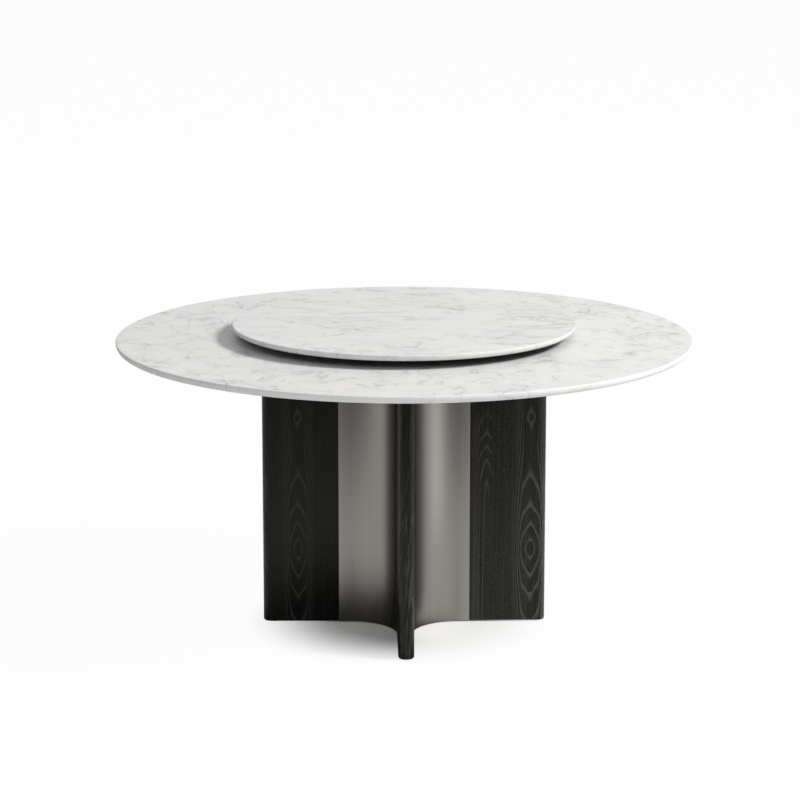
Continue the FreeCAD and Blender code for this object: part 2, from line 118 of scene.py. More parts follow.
def setPanels():              # upright boxes that face the table's axis
    for plan in studio["panels"]:
        place = Vector(plan["place"])
        bpy.ops.object.light_add(type="AREA", location=place)
        panel = bpy.context.object
        panel.rotation_euler = Vector((place.x, place.y, 0)).to_track_quat("Z", "Y").to_euler()
        panel.data.shape = "RECTANGLE"
        panel.data.size, panel.data.size_y = plan["size"]
        panel.data.spread = math.radians(plan["spread"])
        panel.data.energy = plan["power"]
        panel.visible_camera = False


def seenDirectly(start):      # 1 for what the camera, a mirror or a glass shows
    rays = ["Is Camera Ray", "Is Glossy Ray", "Is Transmission Ray"]
    camera, glossy, through = [start.node("ShaderNodeLightPath", out=ray) for ray in rays]
    return camera.most(glossy).most(through)


def setRoom():
    room = bpy.data.worlds.new("studio_room")
    room.use_nodes = True
    room.node_tree.nodes.clear()
    start = Wire(room.node_tree)
    strength = seenDirectly(start) * (studio["backdrop"] - studio["fill"]) + studio["fill"]
    light = start.node("ShaderNodeBackground", {}, {"Color": studio["white"], "Strength": strength})
    start.node("ShaderNodeOutputWorld", {}, {"Surface": light}, out=None)
    bpy.context.scene.world = room


def setFloor():
    startFresh()
    bpy.ops.mesh.primitive_plane_add(size=studio["floorSize"])
    floor = bpy.context.object
    floor.name = "studio_floor"
    paint, place = newFinish("studio_floor_paint")
    away = fromAxis(place)
    sideways, depth = [axisOf(place, axis) for axis in range(2)]
    mirrored = place.node("ShaderNodeLightPath", out="Is Glossy Ray")
    lampSide = step(sideways, *studio["lampSide"])
    lift = step(away, *studio["shadow"]) * (1 - mirrored)
    lift = lift + step(away, *studio["mirrored"]).most(lampSide) * mirrored
    tint = blendTint(seenDirectly(place), studio["floorBounce"], studio["floorTint"])
    # painted shadow: what the metal mirrors of the floor near the base is near black
    tint = blendTint(mirrored, tint, studio["mirroredFloorShade"])
    matt = place.node("ShaderNodeBsdfDiffuse", {}, {"Color": tint})
    # painted shade: what the metal mirrors of the floor darkens far in front
    glow = blendTint(step(-1 * depth, *studio["dim"]) * mirrored, studio["white"], studio["dimTint"])
    white = place.node("ShaderNodeEmission", {}, {"Color": glow, "Strength": 1.0})
    share = seenDirectly(place) * lift * studio["shadowLift"]
    both = place.node("ShaderNodeMixShader", {}, {0: share, 1: matt, 2: white})
    place.node("ShaderNodeOutputMaterial", {}, {"Surface": both}, out=None)
    floor.data.materials.append(paint)


# shader maths

noiseMiddle = 0.5


class Wire:                   # a socket that takes part in sums; with no socket it is only the tree
    def __init__(self, tree, socket=None):
        self.tree = tree
        self.socket = socket

    def node(self, kind, settings=None, sockets=None, out=0):
        made = self.tree.nodes.new(kind)
        for name, value in (settings or {}).items():
            if name == "stops":
                fillRamp(made.color_ramp, value)
            else:
                setattr(made, name, value)
        for name, value in (sockets or {}).items():
            if isinstance(value, Wire):
                self.tree.links.new(value.socket, made.inputs[name])
            else:
                made.inputs[name].default_value = value
        return None if out is None else Wire(self.tree, made.outputs[out])

    def maths(self, operation, *values):
        return self.node("ShaderNodeMath", {"operation": operation}, dict(enumerate(values)))

    def __add__(self, other):
        return self.maths("ADD", self, other)

    def __sub__(self, other):
        return self.maths("SUBTRACT", self, other)

    def __rsub__(self, other):
        return self.maths("SUBTRACT", other, self)

    def __mul__(self, other):
        return self.maths("MULTIPLY", self, other)

    def __truediv__(self, other):
        return self.maths("DIVIDE", self, other)

    def __pow__(self, other):
        return self.maths("POWER", self, other)

    def __abs__(self):
        return self.maths("ABSOLUTE", self)

    __radd__ = __add__
    __rmul__ = __mul__

    def most(self, other):
        return self.maths("MAXIMUM", self, other)

    def least(self, other):
        return self.maths("MINIMUM", self, other)

    def part(self):           # what is left after the whole number
        return self.maths("FRACT", self)


def fillRamp(ramp, stops):
    while len(ramp.elements) < len(stops):
        ramp.elements.new(1)
    for element, (position, level) in zip(ramp.elements, stops):
        element.position = position
        element.color = (level, level, level, 1)


def axisOf(place, axis):      # 0, 1 and 2 for X, Y and Z
    return place.node("ShaderNodeSeparateXYZ", {}, {0: place}, axis)


def fromAxis(place):          # distance from the table's upright axis
    flat = place.node("ShaderNodeVectorMath", {"operation": "MULTIPLY"}, {0: place, 1: (1, 1, 0)})
    return place.node("ShaderNodeVectorMath", {"operation": "LENGTH"}, {0: flat}, "Value")


def noise(place, scale, detail=2, roughness=0.5, out=0):
    return place.node("ShaderNodeTexNoise", {}, {
        "Vector": place,
        "Scale": scale,
        "Detail": detail,
        "Roughness": roughness,
    }, out)


def swing(value):             # a noise measured from its middle
    return value - noiseMiddle


def laid(place, shift=(0, 0, 0), turn=0, stretch=(1, 1, 1)):
    return place.node("ShaderNodeMapping", {}, {
        "Vector": place,
        "Location": shift,
        "Rotation": (0, 0, math.radians(turn)),
        "Scale": stretch,
    })


def stretched(place, stretch, detail=2, roughness=0.5):  # a noise drawn out along the piece's own axes
    return noise(laid(place, stretch=stretch), 1, detail, roughness)


def step(value, low, high):   # 0 below low, 1 above high, eased between
    return value.node("ShaderNodeMapRange", {"interpolation_type": "SMOOTHSTEP"}, {
        "Value": value,
        "From Min": low,
        "From Max": high,
    })


def ridge(place, scale, width, detail=3):        # thin lines where a noise passes its middle
    return 1 - step(abs(swing(noise(place, scale, detail))), 0.0, width)


def softened(value, bend):    # distance from zero, with the corner at zero rounded off
    return (value * value + bend * bend) ** 0.5 - bend


def blendTint(factor, first, second):
    return factor.node("ShaderNodeMix", {"data_type": "RGBA"}, {0: factor, 6: first, 7: second}, 2)


def toned(tint, share, lift=0):                  # the same colour, darker or paler
    return tuple(level * share + lift for level in tint[:3]) + (1,)


def drifted(place, scale, amount):               # the place, pushed about by a colour noise
    push = noise(place, scale, detail=3, out=1)
    middle = (noiseMiddle, noiseMiddle, noiseMiddle)
    centred = place.node("ShaderNodeVectorMath", {"operation": "SUBTRACT"}, {0: push, 1: middle})
    small = place.node("ShaderNodeVectorMath", {"operation": "SCALE"}, {0: centred, "Scale": amount})
    return place.node("ShaderNodeVectorMath", {"operation": "ADD"}, {0: place, 1: small})


def bump(height, strength, depth):
    return height.node("ShaderNodeBump", {}, {"Height": height, "Strength": strength, "Distance": depth})


def newFinish(name):          # an empty material and the place of each point on the piece
    paint = bpy.data.materials.new(name)
    paint.use_nodes = True
    paint.node_tree.nodes.clear()
    return paint, Wire(paint.node_tree).node("ShaderNodeTexCoord", out="Object")


def closeFinish(paint, place, sockets):
    shader = place.node("ShaderNodeBsdfPrincipled", {}, sockets)
    place.node("ShaderNodeOutputMaterial", {}, {"Surface": shader}, out=None)
    return paint


# modelling helpers

def startFresh():
    if bpy.context.mode != "OBJECT":
        bpy.ops.object.mode_set(mode="OBJECT")
    bpy.ops.object.select_all(action="DESELECT")


def beginEdit(mode):
    bpy.ops.object.mode_set(mode="EDIT")
    bpy.ops.mesh.select_mode(type=mode)
    bpy.ops.mesh.select_all(action="DESELECT")


def pick(piece, kind, test):  # selects edges by a test of their two ends, or faces by their middle and normal
    mesh = bmesh.from_edit_mesh(piece.data)
    bpy.ops.mesh.select_all(action="DESELECT")
    for item in mesh.edges if kind == "edges" else mesh.faces:
        if kind == "edges":
            ends = [corner.co for corner in item.verts]
            item.select_set(test(ends[0], ends[1]))
        else:
            item.select_set(test(item.calc_center_median(), item.normal))
    mesh.select_flush_mode()
    bmesh.update_edit_mesh(piece.data)


def roundOff(radius, steps):  # bevels the edges that are picked
    bpy.ops.mesh.bevel(offset=radius, segments=steps, affect="EDGES")


def smoothed(piece, angle):   # leaves edit mode; corners sharper than the angle stay sharp
    bpy.ops.object.mode_set(mode="OBJECT")
    bpy.ops.object.shade_smooth_by_angle(angle=math.radians(angle))
    return piece


def placeInMesh():
    bpy.ops.object.transform_apply(location=True, rotation=True, scale=True)


def applyAll(piece):
    bpy.context.view_layer.objects.active = piece
    for modifier in list(piece.modifiers):
        bpy.ops.object.modifier_apply(modifier=modifier.name)


def near(first, second, gap=0.00002):
    return abs(first - second) < gap


def standFor(piece, plan, node, finish):
    piece.data.materials.clear()
    piece.data.materials.append(finish)
    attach(piece, plan["body"])
    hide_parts(node)


def turnedCopy(piece, name, degrees):
    startFresh()
    piece.select_set(True)
    bpy.context.view_layer.objects.active = piece
    bpy.ops.object.duplicate(linked=False)
    copy = bpy.context.object
    copy.name = name
    copy.rotation_euler.z = math.radians(degrees)
    placeInMesh()
    return copy


# stone top and turning disc

marble = {
    "drifts": [(2.2, 0.3), (9, 0.07), (42, 0.014)],      # scale and push of each bend in the veins
    "veinSets": [
        # how each set's lines lie, the patches that they show in, and the soft halo round them
        {
            "strength": "long", "shift": (0, 0, 0), "turn": 0, "scale": 2.6, "width": 0.013, "detail": 4,
            "patchShift": (0, 0, 0), "patchScale": 4, "shows": (0.42, 0.56),
            "haloWidth": 0.07, "haloShows": (0.4, 0.6),
        },
        {
            "strength": "middling", "shift": (4, 6, 2), "turn": 15, "scale": 6, "width": 0.022, "detail": 3,
            "patchShift": (5, 3, 1), "patchScale": 6, "shows": (0.44, 0.58),
            "haloWidth": 0.12, "haloShows": (0.4, 0.64),
        },
        {
            "strength": "short", "shift": (9, 1, 5), "turn": -12, "scale": 13, "width": 0.045, "detail": 3,
            "patchShift": (2, 9, 4), "patchScale": 9, "shows": (0.48, 0.62),
        },
    ],
    "haloStrength": 0.07,
    "rimFade": 0.5,           # how much of the veins is lost on the rim
    "hazes": [                # soft tones between the veins
        {"scale": 5, "roughness": 0.6, "share": 0.6},
        {"scale": 19, "roughness": 0.65, "share": 0.4},
    ],
    "hazeRange": (0.34, 0.66),
    "warmShift": (7, 2, 3), "warmScale": 3, "warmRange": (0.5, 0.72), "warmShare": 0.6,
    "grainScale": 900, "grainShare": 0.03, "grainBump": (0.05, 0.0002),
    # painted shade: the near-black given to the disc's underside
    "paintedUnderShadeTint": (0.012, 0.012, 0.012, 1),
    "rough": 0.45, "hazeRough": 0.06, "veinRough": 0.05, "shine": 0.14,
}

stoneTop = {
    "piece": "stone_top", "node": "table_top", "body": "table", "slot": "marble",
    "sides": 288, "upperRound": 0.003, "lowerRound": 0.016, "roundSteps": 8, "smoothAngle": 35,
    "finish": "marble_top", "turn": 24, "shift": (0.3, 0.1, 0.0), "stretch": (1.5, 1.2, 1),
    "rim": (0.744, 0.748),    # where the rim begins, from the axis
    "paintedUnderShade": (0.0, 0.001),  # painted shade below this height, black, which is nowhere on the top
    "long": 0.26, "middling": 0.3, "short": 0.36,        # strength of the veins
    "white": (0.825, 0.825, 0.818, 1), "shade": (0.765, 0.767, 0.766, 1), "warm": (0.795, 0.78, 0.745, 1),
    "vein": (0.31, 0.31, 0.305, 1),
}

stoneDisc = {
    "piece": "turning_stone_disc", "node": "turntable_disc", "body": "turntable", "slot": "marble",
    "sides": 240, "upperRound": 0.0015, "lowerRound": 0.013, "roundSteps": 8, "smoothAngle": 35,
    "finish": "marble_disc", "turn": -14, "shift": (1.7, 2.2, 0.4), "stretch": (1, 1.9, 1),
    "rim": (0.4435, 0.4465),
    "paintedUnderShade": (0.7903, 0.7906),                 # painted shade: the disc's underside is painted black, to darken the gap under it
    "long": 0.32, "middling": 0.3, "short": 0.27,
    "white": (0.815, 0.815, 0.808, 1), "shade": (0.755, 0.757, 0.756, 1), "warm": (0.785, 0.775, 0.75, 1),
    "vein": (0.31, 0.31, 0.305, 1),
}


def stoneVeins(bent, slab, plan):
    veins = 0
    for lay in marble["veinSets"]:
        lines = laid(bent, lay["shift"], lay["turn"])
        patch = noise(laid(slab, lay["patchShift"]), lay["patchScale"], detail=3)
        vein = ridge(lines, lay["scale"], lay["width"], lay["detail"]) * step(patch, *lay["shows"])
        veins = veins + vein * plan[lay["strength"]]
        if "haloWidth" in lay:
            halo = ridge(lines, lay["scale"], lay["haloWidth"]) * step(patch, *lay["haloShows"])
            veins = veins + halo * marble["haloStrength"]
    return veins.least(1)


def marbleFinish(plan):       # white stone with thin grey veins that come and go
    paint, place = newFinish(plan["finish"])
    slab = laid(place, plan["shift"], plan["turn"], plan["stretch"])
    bent = slab
    for scale, push in marble["drifts"]:
        bent = drifted(bent, scale, push)
    veins = stoneVeins(bent, slab, plan) * (1 - step(fromAxis(place), *plan["rim"]) * marble["rimFade"])
    haze = 0
    for soft in marble["hazes"]:
        haze = haze + noise(bent, soft["scale"], detail=4, roughness=soft["roughness"]) * soft["share"]
    warm = noise(laid(slab, marble["warmShift"]), marble["warmScale"], detail=3)
    grain = noise(place, marble["grainScale"])
    tint = blendTint(step(haze, *marble["hazeRange"]), plan["white"], plan["shade"])
    tint = blendTint(step(warm, *marble["warmRange"]) * marble["warmShare"], tint, plan["warm"])
    tint = blendTint(veins, tint, plan["vein"])
    tint = blendTint(grain * marble["grainShare"], tint, plan["vein"])
    # painted shade: black below the plan's height, on the disc's underside
    tint = blendTint(step(axisOf(place, 2), *plan["paintedUnderShade"]), marble["paintedUnderShadeTint"], tint)
    return closeFinish(paint, place, {
        "Base Color": tint,
        "Roughness": marble["rough"] + haze * marble["hazeRough"] + veins * marble["veinRough"],
        "Specular IOR Level": marble["shine"],
        "Normal": bump(grain, *marble["grainBump"]),
    })


def modelStone(plan):
    low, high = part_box(plan["node"])
    radius = max(high.x, high.y)
    startFresh()
    bpy.ops.mesh.primitive_cylinder_add(
        vertices=plan["sides"], radius=radius, depth=high.z - low.z, location=(0, 0, (low.z + high.z) / 2)
    )
    piece = bpy.context.object
    piece.name = plan["piece"]
    placeInMesh()
    beginEdit("EDGE")
    pick(piece, "edges", lambda a, b: near(a.z, low.z) and near(b.z, low.z))
    roundOff(plan["lowerRound"], plan["roundSteps"])
    pick(piece, "edges", lambda a, b: near(a.z, high.z) and near(b.z, high.z))
    roundOff(plan["upperRound"], plan["roundSteps"])
    bpy.ops.mesh.select_mode(type="FACE")
    pick(piece, "faces", lambda middle, normal: near(abs(normal.z), 1) and middle.xy.length < radius / 2)
    bpy.ops.mesh.inset(thickness=plan["upperRound"] * 2, depth=0)
    smoothed(piece, plan["smoothAngle"])
    standFor(piece, plan, plan["node"], marbleFinish(plan))
    print("stone modelled:", plan["piece"], len(piece.data.polygons), "faces")


# wings

wingShell = {
    "body": "table", "slot": "black_ash",
    "nose": 0.0195, "noseSteps": 12, "bottomRound": 0.006, "bottomSteps": 5, "smoothAngle": 30,
    "wall": 0.009, "innerRound": 0.0105, "innerSteps": 6,
    "dark": (0.0015, 0.0015, 0.0014, 1), "brown": (0.0105, 0.0105, 0.0098, 1),
    "pale": (0.05, 0.05, 0.0472, 1),
}

ashGrain = {
    # stretch of each noise, along X, Y and the height
    "feather": (700, 700, 28), "ripple": (24, 24, 6), "sway": (0, 0, 5), "waves": (0, 0, 16),
    "pores": (1100, 1100, 26), "streaks": (210, 210, 2.2), "speckle": (430, 430, 150), "cloud": (12, 12, 4),
    "featherPush": 0.1, "ripplePush": 0.24,      # in rings
    "swayPush": 0.008, "wavePush": 0.012,        # in metres
    "nose": (0.357, 0.366),   # how far out a wing's nose begins
    "noseSlant": 0.1, "noseStrands": (150, 20, 9), "noseLine": 0.07, "noseStrength": 0.9,
    "noseUpper": (0.37, 0.43), "upperFade": 0.6,         # the nose's lines are weaker above this height
    "streakShare": 0.45, "speckleShare": 0.55, "bodyRange": (0.35, 0.65),
    "poreRange": (0.5, 0.72), "poreShare": 0.1, "cloudShare": 0.2,
    "lineShare": 0.65, "linePores": (0.35, 0.6), "linePoreShare": 0.35,
    "poreRelief": 0.6, "lineRelief": 0.4, "bump": (0.35, 0.0004),
    "rough": 0.22, "poreRough": 0.2, "shine": 0.185, "shineTint": (1.0, 1.0, 0.88, 1),
}

ringShape = {
    "length": 0.75,           # height that the climb lists cover
    "climb": 0.4,             # what 1 stands for in the climb lists
    "taper": (0.28, 0.62),    # heights between which a figure narrows
    "tipBend": 0.3, "flank": 0.06,               # round tips, then steady sides
    "edge": 0.85, "edgePower": 1.6, "edgeRise": 0.36,    # rings crowd past this share of the figure's width
    "spacing": 0.0154, "crowding": 0.54,
}

grainStroke = {
    "whole": 0.04,            # share of a ring over which its line is at full strength
    "flank": (0.6, 1.2), "flankGain": 0.32,      # broader lines past these shares of the figure's width
    "tip": (0.001, 0.008), "tipGain": 0.22,      # longer flames at the tips
    "firstRing": (0.8, 0.95),
    "legSide": (0.0, 0.01),   # the side towards the nose, where an arch's legs stop short
}

# how far along the height each ring lies from the figure's middle, both in parts of a fixed length
eyeClimb = [
    (0.0, 0.5), (0.105, 0.2945), (0.173, 0.139), (0.237, 0.0385), (0.25, 0.011), (0.267, 0.0),
    (0.283, 0.011), (0.296, 0.0385), (0.353, 0.139), (0.419, 0.2945), (0.525, 0.5015), (0.569, 0.603),
    (0.613, 0.66), (0.65, 0.66), (0.69, 0.603), (0.725, 0.5015), (0.732, 0.481), (0.741, 0.4735),
    (0.75, 0.481), (0.757, 0.5015), (0.79, 0.603), (0.83, 0.64), (0.965, 0.72),
]
archClimb = [
    (0.0, 0.002), (0.4, 0.012), (0.499, 0.0385), (0.579, 0.139), (0.628, 0.2945), (0.675, 0.5015),
    (0.747, 0.7575), (0.83, 1.0),
]

eyeFigure = {
    "middle": 0.2795, "width": 0.023, "narrows": 0.32, "climb": eyeClimb, "thick": 0.27, "strength": 0.8,
    "fadeTip": (0.032, 0.052), "fadeRoot": (0.03, 0.048), "legs": (-2, -1), "ends": (1, 2),
}
tipFigure = {**eyeFigure, "middle": 0.3325, "width": 0.025, "strength": 1.0}
archFigure = {
    "middle": 0.217, "width": 0.019, "narrows": 0.0, "climb": archClimb, "thick": 0.27, "strength": 0.9,
    "fadeTip": (0.008, 0.018), "fadeRoot": (0.034, 0.044), "legs": (0.33, 0.40), "ends": (0.53, 0.58),
}
# painted light: the right wing, on the lamp's side, gets paler wood colours than the others
lampSideWood = {"brown": (0.0235, 0.0235, 0.0226, 1), "pale": (0.075, 0.075, 0.072, 1)}
wingFigures = {                                  # which way each wing runs, and its grain figures
    "right": {"alongX": True, "sign": 1, "turn": 0, "figures": [tipFigure, archFigure], **lampSideWood},
    "back": {"alongX": False, "sign": 1, "turn": 90, "figures": [tipFigure, archFigure]},
    "left": {"alongX": True, "sign": -1, "turn": 180, "figures": [eyeFigure]},
    "front": {"alongX": False, "sign": -1, "turn": 270, "figures": [eyeFigure, archFigure]},
}


def ringCount(side, height, figure):             # growth rings, counted outwards from the figure's middle
    narrowed = 1 - step(height, *ringShape["taper"]) * figure["narrows"]
    flank = abs(side) / (figure["width"] * narrowed)
    climb = height.node("ShaderNodeValToRGB", {"stops": figure["climb"]}, {0: height / ringShape["length"]})
    wall = softened(flank, ringShape["tipBend"]) * ringShape["flank"]
    edge = (flank - ringShape["edge"]).most(0) ** ringShape["edgePower"] * ringShape["edgeRise"]
    return ((climb * ringShape["climb"] + (wall + edge)) / ringShape["spacing"]) ** ringShape["crowding"]


def grainLines(side, height, figure, ragged):    # pale line at each ring, crisp inside and fading outwards
    rings = ringCount(side, height, figure) + ragged
    flank = [figure["width"] * share for share in grainStroke["flank"]]
    tip = 1 - step(abs(side), *grainStroke["tip"])
    thick = figure["thick"] + step(abs(side), *flank) * grainStroke["flankGain"]
    thick = thick + tip * grainStroke["tipGain"]
    line = (1 - step(rings.part(), grainStroke["whole"], thick)) * step(rings, *grainStroke["firstRing"])
    within = (1 - step(side, *figure["fadeTip"])) * (1 - step(-1 * side, *figure["fadeRoot"]))
    legs = 1 - step(side, *grainStroke["legSide"]) * (1 - step(height, *figure["legs"]))
    return line * within * legs * (1 - step(height, *figure["ends"])) * figure["strength"]


def noseLines(place, reach, across, height):     # slanting strands on a wing's rounded nose
    waves = swing(stretched(place, ashGrain["waves"])) * ashGrain["wavePush"]
    slanted = across - height * ashGrain["noseSlant"] + waves
    scaled = [value * scale for value, scale in zip((slanted, reach, height), ashGrain["noseStrands"])]
    strands = place.node("ShaderNodeCombineXYZ", {}, dict(enumerate(scaled)))
    upper = step(height, *ashGrain["noseUpper"])
    strength = ashGrain["noseStrength"] - upper * ashGrain["upperFade"]
    return ridge(strands, 1, ashGrain["noseLine"]) * step(reach, *ashGrain["nose"]) * strength


def blackAshFinish(side, plan):
    paint, place = newFinish("black_ash_" + side)
    sideways, depth, height = [axisOf(place, axis) for axis in range(3)]
    along, across = (sideways, depth) if plan["alongX"] else (depth, sideways)
    reach = along * plan["sign"]
    sway = swing(stretched(place, ashGrain["sway"], detail=1)) * ashGrain["swayPush"]
    feather = swing(stretched(place, ashGrain["feather"])) * ashGrain["featherPush"]
    ripple = swing(stretched(place, ashGrain["ripple"])) * ashGrain["ripplePush"]
    lines = noseLines(place, reach, across, height)
    for figure in plan["figures"]:
        lines = lines.most(grainLines(reach - figure["middle"] + sway, height, figure, feather + ripple))
    pores = stretched(place, ashGrain["pores"], roughness=0.6)
    streaks = stretched(place, ashGrain["streaks"], detail=3, roughness=0.6)
    speckle = stretched(place, ashGrain["speckle"])
    cloud = stretched(place, ashGrain["cloud"], detail=3)
    tone = streaks * ashGrain["streakShare"] + speckle * ashGrain["speckleShare"]
    tint = blendTint(step(tone, *ashGrain["bodyRange"]), plan["dark"], plan["brown"])
    openPores = step(pores, *ashGrain["poreRange"]) * (ashGrain["poreShare"] + cloud * ashGrain["cloudShare"])
    tint = blendTint(openPores, tint, plan["pale"])
    broken = ashGrain["lineShare"] + step(pores, *ashGrain["linePores"]) * ashGrain["linePoreShare"]
    tint = blendTint(lines * broken, tint, plan["pale"])
    relief = pores * ashGrain["poreRelief"] + lines * ashGrain["lineRelief"]
    return closeFinish(paint, place, {
        "Base Color": tint,
        "Roughness": ashGrain["rough"] + pores * ashGrain["poreRough"],
        "Specular IOR Level": ashGrain["shine"],
        "Specular Tint": ashGrain["shineTint"],
        "Normal": bump(relief, *ashGrain["bump"]),
    })


def modelWing():              # the wing along +X, its shell open towards the pedestal's middle
    low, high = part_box("wing_right_shell")
    startFresh()
    bpy.ops.mesh.primitive_cube_add(size=1, location=(low + high) / 2)
    piece = bpy.context.object
    piece.name = "ash_wing_right"
    piece.scale = high - low
    placeInMesh()
    beginEdit("EDGE")
    pick(piece, "edges", lambda a, b: near(a.x, high.x) and near(b.x, high.x) and near(a.y, b.y))
    roundOff(wingShell["nose"], wingShell["noseSteps"])
    pick(piece, "edges", lambda a, b: near(max(a.z, b.z), low.z) and not near(max(a.x, b.x), low.x))
    roundOff(wingShell["bottomRound"], wingShell["bottomSteps"])
    bpy.ops.object.mode_set(mode="OBJECT")
    hollow = modelHollow(low, high)
    cut = piece.modifiers.new("hollow", "BOOLEAN")
    cut.operation = "DIFFERENCE"
    cut.object = hollow
    startFresh()
    piece.select_set(True)
    applyAll(piece)
    bpy.data.objects.remove(hollow)
    return smoothed(piece, wingShell["smoothAngle"])


def modelHollow(low, high):   # what is cut out of a wing, past its open side and its two ends
    wall = wingShell["wall"]
    inner = Vector((low.x - wall, low.y + wall, low.z - wall))
    outer = Vector((high.x - wall, high.y - wall, high.z + wall))
    startFresh()
    bpy.ops.mesh.primitive_cube_add(size=1, location=(inner + outer) / 2)
    hollow = bpy.context.object
    hollow.scale = outer - inner
    placeInMesh()
    beginEdit("EDGE")
    pick(hollow, "edges", lambda a, b: near(a.x, outer.x) and near(b.x, outer.x) and near(a.y, b.y))
    roundOff(wingShell["innerRound"], wingShell["innerSteps"])
    bpy.ops.object.mode_set(mode="OBJECT")
    return hollow


def makeWings():
    first = modelWing()
    for side, run in wingFigures.items():
        piece = first if side == "right" else turnedCopy(first, "ash_wing_" + side, run["turn"])
        standFor(piece, wingShell, "wing_" + side + "_shell", blackAshFinish(side, {**wingShell, **run}))
    print("wings modelled:", len(wingFigures))


# brushed coves

coveSkin = {
    "body": "table", "slot": "brushed_metal",
    "radius": 0.1215, "bendSteps": 40, "sheet": 0.0012, "weld": 0.00001,
    "arris": 0.0003, "arrisSteps": 2, "smoothAngle": 25,
    "fine": (1600, 1600, 3), "fineShare": 0.5,                           # brush marks
    "wide": (60, 60, 0.9), "wideShift": (4, 1, 0), "wideShare": 0.35,    # broad soft bands
    "toneRange": (0.1, 0.9), "bump": (0.08, 0.0001),
    "dark": (0.228, 0.215, 0.199, 1), "light": (0.306, 0.289, 0.268, 1),
    "rough": 0.32, "roughSwing": 0.12, "brushPull": 0.45, "edgeTint": (0.02, 0.02, 0.02, 1),
}

coveTurns = {"back_right": 0, "back_left": 90, "front_left": 180, "front_right": 270}


def brushedFinish(name, plan):                   # sheet metal brushed along its height
    paint, place = newFinish(name)
    fine = swing(stretched(place, plan["fine"], detail=3, roughness=0.7))
    shifted = laid(place, plan["wideShift"], stretch=plan["wide"])
    wide = swing(noise(shifted, 1, detail=4, roughness=0.7))
    tone = fine * plan["fineShare"] + wide * plan["wideShare"] + noiseMiddle
    return closeFinish(paint, place, {
        "Base Color": blendTint(step(tone, *plan["toneRange"]), plan["dark"], plan["light"]),
        "Metallic": 1.0,
        "Specular Tint": plan["edgeTint"],
        "Roughness": plan["rough"] + fine * plan["roughSwing"],
        "Anisotropic": plan["brushPull"],
        "Normal": bump(fine, *plan["bump"]),
    })


def modelCove():              # the sheet between the right and the back wing, bent from one flat flange
    low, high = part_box("cove_back_right_skin")
    shown = low.y + coveSkin["sheet"]            # the side that shows, flush with the wood
    tangent = shown + coveSkin["radius"]
    flange = high.x - tangent

    def atEnd(corner):
        return near(corner.x, high.x) or near(corner.y, high.y)

    startFresh()
    bpy.ops.mesh.primitive_plane_add(size=1, rotation=(math.radians(90), 0, 0))
    piece = bpy.context.object
    piece.name = "brushed_cove_back_right"
    piece.scale = (flange, high.z - low.z, 1)
    piece.location = (tangent + flange / 2, shown, (low.z + high.z) / 2)
    placeInMesh()
    beginEdit("EDGE")
    pick(piece, "edges", lambda a, b: near(a.x, tangent) and near(b.x, tangent))
    bpy.ops.mesh.spin(
        steps=coveSkin["bendSteps"], angle=math.radians(90), center=(tangent, tangent, 0), axis=(0, 0, 1)
    )
    pick(piece, "edges", lambda a, b: near(a.y, tangent) and near(b.y, tangent) and near(a.x, shown))
    bpy.ops.mesh.extrude_region_move(TRANSFORM_OT_translate={"value": (0, flange, 0)})
    bpy.ops.mesh.select_all(action="SELECT")
    bpy.ops.mesh.remove_doubles(threshold=coveSkin["weld"])
    bpy.ops.mesh.normals_make_consistent(inside=False)
    mesh = bmesh.from_edit_mesh(piece.data)
    mesh.faces.ensure_lookup_table()
    outermost = max(mesh.faces, key=lambda face: face.calc_center_median().x)
    if outermost.normal.y < 0:                   # the shown side has to be the outside
        bpy.ops.mesh.flip_normals()
    bpy.ops.object.mode_set(mode="OBJECT")
    wall = piece.modifiers.new("sheet", "SOLIDIFY")
    wall.thickness = coveSkin["sheet"]
    wall.offset = -1
    applyAll(piece)
    beginEdit("EDGE")
    pick(piece, "edges", lambda a, b: atEnd(a) and atEnd(b) and not near(a.z, b.z))
    roundOff(coveSkin["arris"], coveSkin["arrisSteps"])
    return smoothed(piece, coveSkin["smoothAngle"])


def makeCoves():
    finish = brushedFinish("brushed_cove_metal", coveSkin)
    first = modelCove()
    for corner, degrees in coveTurns.items():
        piece = first if degrees == 0 else turnedCopy(first, "brushed_cove_" + corner, degrees)
        standFor(piece, coveSkin, "cove_" + corner + "_skin", finish)
    print("coves bent:", len(coveTurns))


# the pieces that keep their CAD shape

turnedMetal = {               # lathe rings round the table's axis, and smudges
    "ringScale": 2400, "ringDull": 0.25, "ringRough": 0.12,
    "smudgeScale": 14, "smudgeDull": 0.2, "smudgeRough": 0.1,
    "dullTone": 0.72, "bump": (0.12, 0.0001),
}

platedMetal = {
    "smudgeScale": 220, "smudgeRange": (0.35, 0.75), "smudgeDull": 0.5, "smudgeRough": 0.15,
    "speckScale": 1400, "dullTone": 0.6, "bump": (0.06, 0.0001),
}

coating = {
    "wornScale": 6, "wornRange": (0.35, 0.75), "wornShare": 0.35, "wornRough": 0.14,
    "wornTone": 1.5, "wornLift": 0.004, "shine": 0.4, "bump": 0.3,
}

birch = {
    "drift": (5, 0.03), "grain": (60, 60, 5), "grainRange": (0.3, 0.72), "grainRough": 0.15,
    "flecks": (700, 700, 40), "fleckRange": (0.58, 0.75), "fleckShare": 0.4,
    "pale": (0.56, 0.43, 0.28, 1), "brown": (0.40, 0.28, 0.16, 1), "fleck": (0.30, 0.20, 0.11, 1),
    "rough": 0.6, "bump": (0.2, 0.0003),
}


